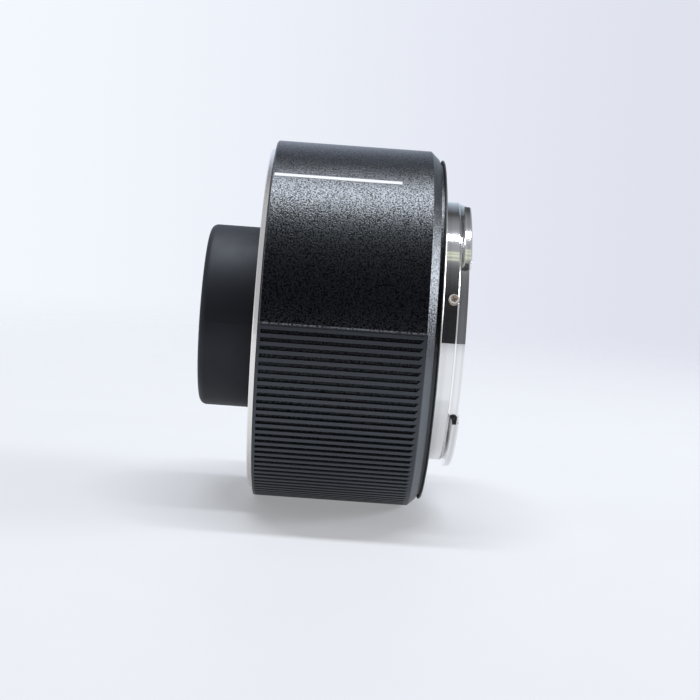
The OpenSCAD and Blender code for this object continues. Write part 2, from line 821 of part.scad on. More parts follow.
module rear_cell_screws() {
    placed() color("silver")
        for (angle = cell_screw_angles)
            at_polar(angle, cell_screw_r, web_rear - cell_flange_t)
                rotate([180, 0, 0]) small_screw(cell_screw_len);
}

// Rear mount

module stop_screw_place() {
    rotate([0, 0, stop_angle]) translate([plug_r - stop_seat, 0, stop_z]) rotate([0, 90, 0]) children();
}

module rear_bayonet() {
    placed() color([0.78, 0.78, 0.8]) difference() {
        union() {
            rotate_extrude() polygon([
                [plug_bore, flange_t], [flange_r, flange_t], [flange_r, flange_bevel],
                [flange_r - flange_bevel, 0], [plug_r + relief_w, 0], [plug_r + relief_w, relief_depth],
                [plug_r, relief_depth], [plug_r, -plug_end + lead_w],
                [plug_r - lead_step, -plug_end + lead_w], [plug_r - lead_step - lead_drop, -plug_end],
                [plug_bore, -plug_end], [plug_bore, -shoulder_t],
                [shoulder_in, -shoulder_t], [shoulder_in, 0], [plug_bore, 0]
            ]);
            for (claw = claws) rotate([0, 0, claw[0]]) rotate_extrude(angle = claw[1]) polygon([
                [plug_bore + plug_wall / 2, -plug_len], [claw_r - edge_bevel, -plug_len],
                [claw_r, -plug_len + edge_bevel], [claw_r, -plug_len + claw_t],
                [plug_bore + plug_wall / 2, -plug_len + claw_t]
            ]);
        }
        for (angle = mount_screw_angles)
            at_polar(angle, fastener_r, screw_sink) rotate([180, 0, 0]) mount_screw_hole();
        at_polar(release_angle, fastener_r, -past)
            cylinder(r = lock_tip_r + lock_hole_gap, h = lock_hole_depth + past);
        at_polar(top_angle, fastener_r, -past) cylinder(r = dot_r, h = dot_depth + past);
        stop_screw_place() {
            cylinder(r = stop_head_r + fit_gap, h = past);
            translate([0, 0, -plug_wall - past])
                cylinder(r = small_shank_r + fit_gap, h = plug_wall + 2 * past);
        }
        arc_block(plug_bore - fit_gap, shoulder_in - past, -shoulder_t - past, past,
            bottom_angle, rear_slot_half);
        for (angle = rear_baffle_angles)
            at_polar(angle, rear_screw_r, -shoulder_t - rear_baffle_t)
                rotate([180, 0, 0]) small_screw_hole(small_screw_len);
        for (side = [-1, 1])
            at_polar(bottom_angle + side * block_screw_offset, rear_screw_r, flange_t)
                small_screw_hole(rear_contact_screw_len);
    }
}

module rear_mount_screws() {
    placed() color("silver")
        for (angle = mount_screw_angles)
            at_polar(angle, fastener_r, screw_sink) rotate([180, 0, 0]) mount_screw();
}

module stop_screw() {
    placed() color([0.75, 0.66, 0.55]) stop_screw_place() difference() {
        union() {
            cylinder(r = stop_head_r, h = stop_head_h);
            translate([0, 0, -stop_shank]) cylinder(r = small_shank_r, h = stop_shank + stop_head_h / 2);
        }
        translate([0, 0, stop_head_h]) rotate([0, 0, stop_turn])
            cross_recess(stop_head_r, stop_head_r * cross_depth);
    }
}

module rear_seal() {
    seal_in = flange_r + fit_gap;
    placed() color([0.2, 0.19, 0.19]) rotate_extrude() polygon([
        [seal_in, seal_sink], [seal_r - seal_bevel, seal_sink], [seal_r, seal_sink + seal_bevel],
        [seal_r, seal_base - seal_bevel], [seal_r - seal_bevel, seal_base], [seal_in, seal_base]
    ]);
}

module rear_baffle() {
    face = -shoulder_t - rear_baffle_t;
    hole = [rear_window[0] - 2 * rear_window_round, rear_window[1] - 2 * rear_window_round];
    placed() color([0.08, 0.08, 0.08]) difference() {
        translate([0, 0, face]) cylinder(r = plug_bore - fit_gap, h = rear_baffle_t);
        for (size = [[rear_window[0], hole[1]], [hole[0], rear_window[1]]])
            translate([-size[0] / 2, -size[1] / 2, face - past])
                cube([size[0], size[1], rear_baffle_t + 2 * past]);
        for (x = [-1, 1], y = [-1, 1])
            translate([x * hole[0] / 2, y * hole[1] / 2, face - past])
                cylinder(r = rear_window_round, h = rear_baffle_t + 2 * past);
        arc_block(plug_bore + past, rear_block_in - rear_slot_gap, face - past, past,
            bottom_angle, rear_slot_half);
        for (angle = rear_baffle_angles)
            at_polar(angle, rear_screw_r, face) rotate([180, 0, 0]) small_screw_hole(small_screw_len);
    }
}

module rear_baffle_screws() {
    placed() color("dimgray")
        for (angle = rear_baffle_angles)
            at_polar(angle, rear_screw_r, -shoulder_t - rear_baffle_t)
                rotate([180, 0, 0]) small_screw(small_screw_len);
}

module rear_contact_block() {
    placed() color([0.1, 0.1, 0.1]) difference() {
        union() {
            arc_block(rear_block_out, rear_block_in, 0, flange_t, bottom_angle, base_half);
            arc_block(rear_block_out - rear_block_step, rear_block_in + rear_block_step,
                -rear_block_end, flange_t / 2, bottom_angle, contact_half);
        }
        for (side = [-1, 1])
            at_polar(bottom_angle + side * block_screw_offset, rear_screw_r, flange_t)
                small_screw_hole(flange_t + past);
    }
}

module rear_contact_screws() {
    placed() color("dimgray")
        for (side = [-1, 1])
            at_polar(bottom_angle + side * block_screw_offset, rear_screw_r, flange_t)
                small_screw(rear_contact_screw_len);
}

module rear_contacts() {
    placed() color("gold")
        for (angle = contact_angles)
            at_polar(angle, rear_block_mid, -rear_block_end - rear_contact_t)
                translate([-rear_contact_size[0] / 2, -rear_contact_size[1] / 2, 0])
                    cube([rear_contact_size[0], rear_contact_size[1], rear_contact_t]);
}

module rear_flex_cable() {
    half_angle = asin(rear_flex_w / 2 / rear_flex_r);
    start = rear_flex_angle - half_angle;
    placed() color([0.55, 0.35, 0.1]) union() {
        sector(rear_block_out, rear_block_in, flange_t, flange_t + flex_t,
            start, bottom_angle + contact_half - start);
        radial_block(rear_flex_angle, rear_block_mid, rear_flex_r + flex_t, rear_flex_w,
            flange_t, flange_t + flex_t);
        radial_block(rear_flex_angle, rear_flex_r, rear_flex_r + flex_t, rear_flex_w, flange_t, board_rear);
    }
}

// Release

module slider_screw_places() {
    for (side = [-1, 1])
        rotate([0, 0, release_angle])
            translate([carriage_in + small_head_h, 0, release_z + side * slider_screw_offset])
                rotate([0, -90, 0]) children();
}

module release_slider() {
    pad_low = pad_floor + run_gap;
    pad_top = barrel_r + pad_show;
    half = pad_len / 2;
    step = pad_len / (pad_grooves + 1);
    placed() color([0.1, 0.1, 0.1]) difference() {
        union() {
            radial_block(release_angle, pad_low, pad_top, pad_w, release_z - half, release_z + half);
            radial_block(release_angle, carriage_out, pad_low + run_gap, stem_w,
                release_z - stem_len / 2, release_z + stem_len / 2);
        }
        for (i = [1:pad_grooves])
            rotate([0, 0, release_angle])
                translate([pad_top, 0, release_z - half + i * step])
                    rotate([0, 45, 0])
                        cube([pad_groove_w, pad_w + past, pad_groove_w], center = true);
        slider_screw_places() small_screw_hole(slider_screw_len);
    }
}

module release_carriage() {
    placed() color([0.3, 0.3, 0.32]) difference() {
        radial_block(release_angle, carriage_in, carriage_out, carriage_w, carriage_rear, carriage_front);
        slider_screw_places() {
            small_screw_hole(slider_screw_len);
            cylinder(r = small_head_r + fit_gap, h = small_head_h + past);
        }
        at_polar(release_angle, fastener_r, carriage_front - lock_pin_seat)
            cylinder(r = lock_pin_r + fit_gap, h = lock_pin_seat + past);
    }
}

module slider_screws() {
    placed() color("silver") slider_screw_places() small_screw(slider_screw_len);
}

module release_spring() {
    placed() color("silver") at_polar(release_angle, fastener_r, 0)
        coil(release_coil_r, release_wire / 2, release_turns, pocket_rear, carriage_rear);
}

module lock_pin() {
    foot = carriage_front - lock_pin_seat;
    placed() color("silver") at_polar(release_angle, fastener_r, 0) rotate_extrude() polygon([
        [0, foot], [lock_pin_r, foot], [lock_pin_r, body_len], [lock_tip_r, body_len],
        [lock_tip_r, lock_pin_tip - lock_pin_bevel], [lock_tip_r - lock_pin_bevel, lock_pin_tip],
        [0, lock_pin_tip]
    ]);
}

// Painted marks that line the mounts up, sunk in both mounting faces
module index_dots() {
    placed() color("red") {
        at_polar(top_angle, fastener_r, body_len - dot_depth)
            cylinder(r = dot_r - fit_gap, h = dot_depth - screw_sink);
        at_polar(top_angle, fastener_r, screw_sink) cylinder(r = dot_r - fit_gap, h = dot_depth - screw_sink);
    }
}

outer_barrel();
chassis();
front_bayonet();
front_mount_screws();
bayonet_spring_ring();
front_baffle();
front_baffle_screws();
front_contact_block();
contact_block_screws();
for (i = [0:contact_count - 1]) contact_pin(i);
contact_springs();
front_flex_cable();
circuit_board();
board_chips();
board_screws();
nose_tube();
nose_tube_screws();
front_retaining_ring();
front_spacer();
for (i = [0:lens_count - 1]) lens(i);
rear_lens_cell();
rear_cell_screws();
middle_spacer();
rear_spacer();
rear_retaining_ring();
rear_bayonet();
rear_mount_screws();
stop_screw();
rear_seal();
rear_baffle();
rear_baffle_screws();
rear_contact_block();
rear_contact_screws();
rear_contacts();
rear_flex_cable();
release_slider();
release_carriage();
slider_screws();
release_spring();
lock_pin();
index_dots();
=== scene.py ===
import json
import math

import bmesh
import bpy
from mathutils import Matrix, Vector

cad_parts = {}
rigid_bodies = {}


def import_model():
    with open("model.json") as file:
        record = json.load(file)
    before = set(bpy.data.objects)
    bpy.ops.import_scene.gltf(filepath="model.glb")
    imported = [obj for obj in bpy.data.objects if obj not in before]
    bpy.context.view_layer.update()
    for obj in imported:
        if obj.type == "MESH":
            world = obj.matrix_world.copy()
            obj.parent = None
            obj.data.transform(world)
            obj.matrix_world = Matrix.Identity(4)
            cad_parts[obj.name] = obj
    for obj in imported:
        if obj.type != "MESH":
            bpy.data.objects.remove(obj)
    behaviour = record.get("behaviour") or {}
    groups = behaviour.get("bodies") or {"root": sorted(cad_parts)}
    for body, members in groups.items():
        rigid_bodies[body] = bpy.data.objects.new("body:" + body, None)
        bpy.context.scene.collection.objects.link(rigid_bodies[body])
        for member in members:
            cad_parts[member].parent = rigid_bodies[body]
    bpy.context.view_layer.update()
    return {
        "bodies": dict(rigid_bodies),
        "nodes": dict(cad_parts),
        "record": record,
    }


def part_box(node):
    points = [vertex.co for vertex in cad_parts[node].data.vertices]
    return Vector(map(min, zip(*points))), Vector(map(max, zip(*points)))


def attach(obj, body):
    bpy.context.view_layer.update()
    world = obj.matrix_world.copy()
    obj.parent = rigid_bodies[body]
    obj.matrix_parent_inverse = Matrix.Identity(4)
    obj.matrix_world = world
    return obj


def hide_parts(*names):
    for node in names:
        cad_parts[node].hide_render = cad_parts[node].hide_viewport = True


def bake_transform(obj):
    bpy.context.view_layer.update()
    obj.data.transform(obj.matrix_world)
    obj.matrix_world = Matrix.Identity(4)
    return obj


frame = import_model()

MM = 0.001
CENTRE_LINE = Vector((0.0, 1.0, 0.0))

# Sizes that the frame gives
barrel_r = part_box("outer_barrel")[1].z
barrel_front_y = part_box("outer_barrel")[0].y
body_front_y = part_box("front_bayonet")[0].y
rim_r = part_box("front_bayonet")[1].z
flange_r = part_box("rear_bayonet")[1].z
plug_end_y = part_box("rear_bayonet")[1].y

# The silver rim ahead of the barrel, which tapers to its front edge
rim_middle_y = (body_front_y + barrel_front_y) / 2
rim_half = (barrel_front_y - body_front_y) / 2
RIM_FRONT_R = rim_r - 0.34 * MM

# The barrel's ribs and its rear chamfer, which is smooth on the lower side
RIB_TOP_R = barrel_r - 0.12 * MM
GROOVE_R = RIB_TOP_R - 0.3 * MM
CHAMFER_Y = -2.35 * MM
SMOOTH_CHAMFER_FROM = math.radians(-16)
SMOOTH_CHAMFER_TO = math.radians(6)

# The plug's step between its claws, and how far its edge is rounded over
PLUG_R = 21.12 * MM
PLUG_STEP_Y = plug_end_y - 1.55 * MM
EDGE_ROUND = 0.3 * MM
ROUND_DROP = 0.16 * MM

# The stippled panel: its grain, its lower edges with their painted highlight line, and its rounded rear corners
GRAIN_SIZE = 0.24 * MM
GRAIN_HEIGHT = 0.06 * MM
PANEL_EDGE = math.radians(3.4)
# Painted highlight: how far above the panel's lower edge its bright line lies
EDGE_HIGHLIGHT_OFFSET = 0.13 * MM
CORNER_R = 0.6 * MM

# The white line printed on the barrel
LINE_FRONT_Y = -26.7 * MM
LINE_REAR_Y = -7.2 * MM
LINE_ANGLE = math.radians(54.2)
LINE_WIDTH = 0.7 * MM
PRINT_HEIGHT = 0.02 * MM

# Turning marks on the bayonets
TURNING_PITCH = 0.05 * MM
TURNING_DEPTH = 0.01 * MM
STREAK_PITCH = 0.35 * MM

# Farthest that a spring's wire lies from its axis, and how near two of its corners count as one
SPRING_REACH = 1.3 * MM
WELD = 0.0001 * MM

# The photograph's camera
LENS_MM = 82.3
CAMERA_DISTANCE = 262.7 * MM
CAMERA_AIM_Y = -13.44 * MM
CAMERA_RISE = math.radians(5.0)
CAMERA_ROLL = math.radians(4.13)
CAMERA_YAW = math.radians(0.52)
CAMERA_DIP = math.radians(0.926)

FLOOR_Z = -29.0 * MM

# How bright the room is round the optical axis, by degrees up from the camera's side
ROOM_LEVELS = ((-24, 0.85), (-16, 0.026), (20, 0.024), (36, 0.028), (46, 0.066), (54, 0.1), (61.5, 0.135),
               (68, 0.26), (82, 0.36), (103, 0.32), (116, 0.24), (125, 0.14), (129.5, 0.08), (135, 0.09),
               (140, 0.3), (152, 0.85))
LAMP_STRIPES = (70.5, 74, 77.5)
STRIPE_HALF = 0.7
LAMP_GLOW = (0.95, 1.0, 0.78)
LAMP_EDGE = (0.34, 0.35, 0.36)
ROOM_TINT = (0.97, 0.98, 1.06)
BEHIND_TINT = (0.87, 0.97, 1.2)
BEHIND_FROM = 135
BEHIND_COLOUR = (0.75, 0.82, 0.97)
BACK_WALL_LOW, BACK_WALL_HIGH = (0.085, 0.1, 0.12), (0.78, 0.9, 1.05)
SIDE_WALLS_LOW, SIDE_WALLS_HIGH = (1.05, 1.06, 1.08), (0.48, 0.49, 0.53)
SEEN_LEFT, SEEN_RIGHT = (0.9, 0.94, 1.0), (0.74, 0.76, 0.85)
COOL_WHITE = (0.95, 0.99, 1.06)


# Node helpers

def feed(material, socket, value):
    """Sets a socket to a constant, or links another node's output to it."""
    if isinstance(value, bpy.types.NodeSocket):
        material.node_tree.links.new(value, socket)
    else:
        socket.default_value = value


def add(material, kind, inputs=None, **settings):
    made = material.node_tree.nodes.new(kind)
    for name, value in settings.items():
        setattr(made, name, value)
    for name, value in (inputs or {}).items():
        feed(material, made.inputs[name], value)
    return made


def calc(material, operation, *values):
    made = add(material, "ShaderNodeMath", operation=operation)
    for socket, value in zip(made.inputs, values):
        feed(material, socket, value)
    return made.outputs[0]


def ramp(material, value, low, high, to_low=0.0, to_high=1.0):
    """Smooth step of a value from one range to another."""
    made = add(material, "ShaderNodeMapRange", {"Value": value}, interpolation_type="SMOOTHSTEP")
    for name, limit in zip(("From Min", "From Max", "To Min", "To Max"), (low, high, to_low, to_high)):
        made.inputs[name].default_value = limit
    return made.outputs["Result"]


def mix_colour(material, share, first, second):
    made = add(material, "ShaderNodeMix", data_type="RGBA")
    feed(material, made.inputs["Factor"], share)
    for name, colour in (("A", first), ("B", second)):
        socket = next(s for s in made.inputs if s.name == name and s.type == "RGBA")
        feed(material, socket, (*colour, 1.0) if isinstance(colour, tuple) else colour)
    return next(s for s in made.outputs if s.type == "RGBA")


def new_finish(name, colour, roughness, metallic=0.0):
    material = bpy.data.materials.new(name)
    material.use_nodes = True
    shader = material.node_tree.nodes["Principled BSDF"]
    shader.inputs["Base Color"].default_value = (*colour, 1.0)
    shader.inputs["Roughness"].default_value = roughness
    shader.inputs["Metallic"].default_value = metallic
    return material, shader


def place(material):
    return add(material, "ShaderNodeTexCoord").outputs["Object"]


def polar(material):
    """Radius and angle about the optical axis, and the place along it."""
    parts = add(material, "ShaderNodeSeparateXYZ", {"Vector": place(material)})
    x, y, z = parts.outputs
    radius = calc(material, "SQRT", calc(material, "ADD", calc(material, "MULTIPLY", x, x),
                                         calc(material, "MULTIPLY", z, z)))
    return radius, calc(material, "ARCTAN2", z, x), y


def noise(material, vector, size, detail=2.0, roughness=0.5):
    """Noise whose lumps are about one size across."""
    return add(material, "ShaderNodeTexNoise",
               {"Vector": vector, "Scale": 1 / size, "Detail": detail, "Roughness": roughness}).outputs["Fac"]


def turned_lines(material, pitch):
    """Fine rings round the optical axis, as a lathe leaves them."""
    radius, _, along = polar(material)
    track = add(material, "ShaderNodeCombineXYZ", {"X": radius, "Y": along}).outputs["Vector"]
    return noise(material, track, pitch, detail=3.0)


def bump(material, shader, height, depth):
    """Raises the surface by a height from 0 to 1, times a depth."""
    made = add(material, "ShaderNodeBump", {"Height": height, "Distance": depth, "Strength": 1.0})
    feed(material, shader.inputs["Normal"], made.outputs["Normal"])


# Finishes

def barrel_paint():
    """Black stipple paint, smooth slate on the rib tops and below them, with a painted highlight line along the
    panel's lower edge.
    """
    material, shader = new_finish("barrel_paint", (0.01, 0.01, 0.012), 0.4)
    radius, angle, along = polar(material)
    where = place(material)
    above_ribs = calc(material, "MULTIPLY", panel_corner(material),
                      ramp(material, radius, RIB_TOP_R + 0.02 * MM, RIB_TOP_R + 0.08 * MM))
    in_groove = ramp(material, radius, GROOVE_R + 0.05 * MM, GROOVE_R + 0.12 * MM, 1.0, 0.0)
    on_chamfer = ramp(material, along, CHAMFER_Y - 0.05 * MM, CHAMFER_Y + 0.05 * MM)
    high_side = ramp(material, angle, SMOOTH_CHAMFER_FROM, SMOOTH_CHAMFER_TO)
    stipple_share = calc(material, "MAXIMUM", above_ribs, in_groove)
    chamfer_share = calc(material, "MULTIPLY", on_chamfer, high_side)
    off_chamfer = calc(material, "SUBTRACT", 1.0, on_chamfer)
    share = calc(material, "ADD", calc(material, "MULTIPLY", stipple_share, off_chamfer), chamfer_share)
    grains = noise(material, where, GRAIN_SIZE)
    lumps = ramp(material, grains, 0.36, 0.6)
    stipple = calc(material, "MULTIPLY", grains, share)
    height = calc(material, "ADD", stipple, calc(material, "MULTIPLY", noise(material, where, 0.09 * MM), 0.03))
    bump(material, shader, height, GRAIN_HEIGHT)
    wear = noise(material, where, 6 * MM, detail=4.0)
    smooth = mix_colour(material, wear, (0.056, 0.061, 0.071), (0.066, 0.072, 0.083))
    rough = mix_colour(material, lumps, (0.0014, 0.0017, 0.0023), (0.0095, 0.0105, 0.0135))
    paint = mix_colour(material, share, smooth, rough)
    # Painted highlight: a broken light grey line along the panel's lower edges, standing in for light caught by the
    # edge
    edge = calc(material, "MULTIPLY", painted_edge_highlight(material), calc(material, "MULTIPLY", above_ribs, off_chamfer))
    feed(material, shader.inputs["Base Color"], mix_colour(material, edge, paint, (0.3, 0.31, 0.34)))
    # Painted shade: the reflection is dimmed in the stipple's hollows, a little less on the chamfer, standing in for
    # the shade inside them
    hollows = calc(material, "MULTIPLY", share, calc(material, "SUBTRACT", 1.0, lumps))
    hollows = calc(material, "MULTIPLY", hollows, ramp(material, on_chamfer, 0.0, 1.0, 1.0, 0.7))
    gloss = ramp(material, radius, RIB_TOP_R, RIB_TOP_R + 0.05 * MM, 0.3, 1.0)
    gloss = calc(material, "MAXIMUM", gloss, calc(material, "MULTIPLY", on_chamfer, 0.86))
    hollow_shaded_gloss = calc(material, "MULTIPLY", gloss, ramp(material, hollows, 0.0, 1.0, 1.05, 0.18))
    feed(material, shader.inputs["Specular IOR Level"], hollow_shaded_gloss)
    shader.inputs["Specular Tint"].default_value = (0.9, 0.95, 1.0, 1.0)
    feed(material, shader.inputs["Roughness"], ramp(material, share, 0.0, 1.0, 0.45, 0.28))
    return material


def panel_height(material):
    """Distance round the barrel above the stippled panel's lower edges, the same on both sides."""
    parts = add(material, "ShaderNodeSeparateXYZ", {"Vector": place(material)})
    x, along, z = parts.outputs
    angle = calc(material, "ARCTAN2", z, calc(material, "ABSOLUTE", x))
    return calc(material, "MULTIPLY", calc(material, "SUBTRACT", angle, PANEL_EDGE), barrel_r), along


def panel_corner(material):
    """One inside the stippled panel, nought beyond its rounded rear corners."""
    height, along = panel_height(material)
    down = calc(material, "MAXIMUM", calc(material, "SUBTRACT", CORNER_R, height), 0.0)
    back = calc(material, "MAXIMUM", calc(material, "SUBTRACT", along, CHAMFER_Y - CORNER_R), 0.0)
    away = calc(material, "SQRT", calc(material, "ADD", calc(material, "MULTIPLY", down, down),
                                       calc(material, "MULTIPLY", back, back)))
    both = calc(material, "MULTIPLY", calc(material, "GREATER_THAN", down, 0.0),
                calc(material, "GREATER_THAN", back, 0.0))
    beyond = calc(material, "MULTIPLY", both, ramp(material, away, 0.95 * CORNER_R, 1.05 * CORNER_R))
    return calc(material, "SUBTRACT", 1.0, beyond)


def painted_edge_highlight(material):
    """A broken painted highlight line along the stippled panel's lower edges, standing in for light caught by the
    edge.
    """
    height, _ = panel_height(material)
    near = ramp(material, calc(material, "ABSOLUTE", calc(material, "SUBTRACT", height, EDGE_HIGHLIGHT_OFFSET)),
                0.6 * EDGE_HIGHLIGHT_OFFSET, 1.2 * EDGE_HIGHLIGHT_OFFSET, 1.0, 0.0)
    broken = ramp(material, noise(material, place(material), 0.25 * MM), 0.35, 0.6)
    return calc(material, "MULTIPLY", near, broken)


def bayonet_chrome():
    """Bright chrome with turning marks; satin on the edges that show, warm on the rim with painted highlights towards
    its two edges, and painted dark grey on the rear flange's edge as painted shade.
    """
    material, shader = new_finish("bayonet_chrome", (0.8, 0.8, 0.8), 0.08, 1.0)
    radius, _, along = polar(material)
    front_edge = ramp(material, radius, RIM_FRONT_R - 0.3 * MM, RIM_FRONT_R - 0.2 * MM)
    at_flange_edge = ramp(material, radius, flange_r - 0.25 * MM, flange_r - 0.15 * MM)
    at_rear = ramp(material, along, -3 * MM, -2.5 * MM)
    on_rim = calc(material, "MAXIMUM", front_edge, calc(material, "MULTIPLY", at_flange_edge, at_rear))
    lines = turned_lines(material, TURNING_PITCH)
    haze = noise(material, place(material), 9 * MM, detail=4.0)
    strength = ramp(material, on_rim, 0.0, 1.0, 0.06, 1.0)
    drop = ROUND_DROP / TURNING_DEPTH
    rounded = calc(material, "MULTIPLY", ramp(material, along, PLUG_STEP_Y - EDGE_ROUND, PLUG_STEP_Y, drop, 0.0),
                   ramp(material, radius, PLUG_R - 0.3 * MM, PLUG_R - 0.2 * MM))
    height = calc(material, "ADD", calc(material, "MULTIPLY", lines, strength), rounded)
    bump(material, shader, height, TURNING_DEPTH)
    bright = ramp(material, haze, 0.3, 0.7, 0.06, 0.12)
    satin = ramp(material, lines, 0.3, 0.7, 0.22, 0.36)
    rim_part = calc(material, "MULTIPLY", on_rim, satin)
    plain_part = calc(material, "MULTIPLY", calc(material, "SUBTRACT", 1.0, on_rim), bright)
    feed(material, shader.inputs["Roughness"], calc(material, "ADD", rim_part, plain_part))
    # Painted highlight: the rim is painted brighter towards its two bevelled edges, standing in for the light they
    # catch; its warm tint is its own
    from_middle = calc(material, "ABSOLUTE", calc(material, "SUBTRACT", along, rim_middle_y))
    rim_edge_highlight = ramp(material, from_middle, 0.5 * rim_half, 0.85 * rim_half)
    rim_metal = mix_colour(material, rim_edge_highlight, (0.9, 0.87, 0.83), (0.98, 0.96, 0.93))
    streaks = ramp(material, turned_lines(material, STREAK_PITCH), 0.35, 0.65)
    plug_metal = mix_colour(material, streaks, (0.77, 0.77, 0.77), (0.9, 0.9, 0.89))
    # Painted shade: the rear flange's chrome edge is painted dark grey, standing in for its being in shade
    edge_metal = mix_colour(material, at_rear, rim_metal, (0.4, 0.39, 0.38))
    feed(material, shader.inputs["Base Color"], mix_colour(material, on_rim, plug_metal, edge_metal))
    return material


def lens_unit_black():
    """Fine matt black anodising."""
    material, shader = new_finish("lens_unit_black", (0.0068, 0.0078, 0.0115), 0.6)
    shader.inputs["Specular IOR Level"].default_value = 0.54
    shader.inputs["Specular Tint"].default_value = (0.86, 0.91, 1.0, 1.0)
    where = place(material)
    bump(material, shader, noise(material, where, 0.12 * MM), 0.004 * MM)
    smudge = noise(material, where, 7 * MM, detail=4.0)
    feed(material, shader.inputs["Roughness"], ramp(material, smudge, 0.3, 0.7, 0.56, 0.64))
    return material


def plain_finish(name, colour, roughness, metallic, grain, depth, shade):
    """A finish with a fine grain, some unevenness of colour and of gloss."""
    material, shader = new_finish(name, colour, roughness, metallic)
    where = place(material)
    lump = grain * MM
    bump(material, shader, noise(material, where, lump), depth * MM)
    patches = noise(material, where, 20 * lump, detail=4.0)
    darker = tuple(shade * channel for channel in colour)
    feed(material, shader.inputs["Base Color"], mix_colour(material, patches, darker, colour))
    feed(material, shader.inputs["Roughness"], ramp(material, patches, 0.3, 0.7, 0.85 * roughness, 1.15 * roughness))
    return material


def lens_glass():
    """Clear glass with a thin coating, its edge painted black."""
    material, shader = new_finish("lens_glass", (1.0, 1.0, 1.0), 0.0)
    shader.inputs["IOR"].default_value = 1.6
    shader.inputs["Thin Film Thickness"].default_value = 420.0
    shader.inputs["Thin Film IOR"].default_value = 1.38
    radius, _, _ = polar(material)
    edge_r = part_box("lens_1")[1].z
    clear = ramp(material, radius, edge_r - 0.25 * MM, edge_r - 0.15 * MM, 1.0, 0.0)
    feed(material, shader.inputs["Transmission Weight"], clear)
    feed(material, shader.inputs["Base Color"], mix_colour(material, clear, (0.01, 0.01, 0.01), (1.0, 1.0, 1.0)))
    dust = noise(material, place(material), 1.5 * MM, detail=5.0)
    feed(material, shader.inputs["Roughness"], ramp(material, dust, 0.6, 0.8, 0.0, 0.03))
    return material


def stop_screw_steel():
    """Warm steel, brighter and less metallic in a ring round the cross."""
    material, shader = new_finish("stop_screw_steel", (0.7, 0.57, 0.45), 0.4)
    low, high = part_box("stop_screw")
    middle = (low + high) / 2
    head_r = (high.y - low.y) / 2
    outward = Vector((middle.x, 0.0, middle.z)).normalized()
    from_foot = add(material, "ShaderNodeVectorMath", {0: place(material), 1: CENTRE_LINE * middle.y},
                    operation="SUBTRACT").outputs["Vector"]
    off_axis = add(material, "ShaderNodeVectorMath", {0: from_foot, 1: outward},
                   operation="CROSS_PRODUCT").outputs["Vector"]
    distance = add(material, "ShaderNodeVectorMath", {0: off_axis}, operation="LENGTH").outputs["Value"]
    ring = calc(material, "MULTIPLY", ramp(material, distance, 0.62 * head_r, 0.72 * head_r),
                ramp(material, distance, 0.9 * head_r, 0.98 * head_r, 1.0, 0.2))
    feed(material, shader.inputs["Base Color"], mix_colour(material, ring, (0.7, 0.57, 0.45), (0.98, 0.95, 0.9)))
    feed(material, shader.inputs["Metallic"], ramp(material, ring, 0.0, 1.0, 0.6, 0.1))
    bump(material, shader, noise(material, place(material), 0.08 * MM), 0.004 * MM)
    return material


def board_laminate():
    """Green solder mask over copper tracks."""
    material, shader = new_finish("board_laminate", (0.02, 0.14, 0.06), 0.35)
    tracks = add(material, "ShaderNodeTexBrick",
                 {"Vector": place(material), "Scale": 400.0, "Mortar Size": 0.012}).outputs["Fac"]
    feed(material, shader.inputs["Base Color"],
         mix_colour(material, tracks, (0.015, 0.11, 0.05), (0.04, 0.22, 0.09)))
    bump(material, shader, tracks, 0.02 * MM)
    return material


# Colour, roughness and metal of the plain finishes, the size and depth of their grain in millimetres, and how dark
# their patches are
PLAIN_FINISHES = {
    "chassis_metal": ((0.03, 0.03, 0.033), 0.5, 0.0, 0.15, 0.006, 0.7),
    "mount_screw_steel": ((0.62, 0.62, 0.64), 0.25, 1.0, 0.08, 0.002, 0.7),
    "black_screw_steel": ((0.03, 0.03, 0.033), 0.35, 0.6, 0.08, 0.002, 0.7),
    "spring_steel": ((0.55, 0.55, 0.57), 0.3, 1.0, 0.1, 0.002, 0.7),
    "lock_steel": ((0.66, 0.66, 0.68), 0.22, 1.0, 0.08, 0.002, 0.7),
    "baffle_black": ((0.012, 0.012, 0.012), 0.65, 0.0, 0.1, 0.008, 0.7),
    "contact_plastic": ((0.02, 0.02, 0.021), 0.5, 0.0, 0.12, 0.006, 0.7),
    "gold_contact": ((0.95, 0.68, 0.28), 0.18, 1.0, 0.06, 0.001, 0.85),
    "flex_film": ((0.4, 0.19, 0.04), 0.35, 0.0, 0.2, 0.004, 0.7),
    "chip_plastic": ((0.025, 0.025, 0.027), 0.55, 0.0, 0.1, 0.004, 0.7),
    "seal_rubber": ((0.014, 0.014, 0.015), 0.5, 0.0, 0.1, 0.01, 0.7),
    "slider_plastic": ((0.02, 0.02, 0.022), 0.42, 0.0, 0.15, 0.01, 0.7),
    "index_red": ((0.6, 0.02, 0.02), 0.3, 0.0, 0.1, 0.004, 0.7),
    "white_ink": ((0.85, 0.85, 0.86), 0.45, 0.0, 0.15, 0.01, 0.9),
}

finishes = {
    "barrel_paint": barrel_paint(),
    "bayonet_chrome": bayonet_chrome(),
    "lens_unit_black": lens_unit_black(),
    "lens_glass": lens_glass(),
    "board_laminate": board_laminate(),
    "stop_screw_steel": stop_screw_steel(),
}
for name, values in PLAIN_FINISHES.items():
    finishes[name] = plain_finish(name, *values)
for part in frame["record"]["subparts"]:
    node = frame["nodes"][part["node"]]
    node.data.materials.clear()
    node.data.materials.append(finishes[part["material_slot"]])


# Pieces made here

def made_object(name, shape, material):
    """Makes a bmesh an object of the scene."""
    mesh = bpy.data.meshes.new(name)
    shape.to_mesh(mesh)
    shape.free()
    mesh.materials.append(material)
    thing = bpy.data.objects.new(name, mesh)
    bpy.context.scene.collection.objects.link(thing)
    return thing


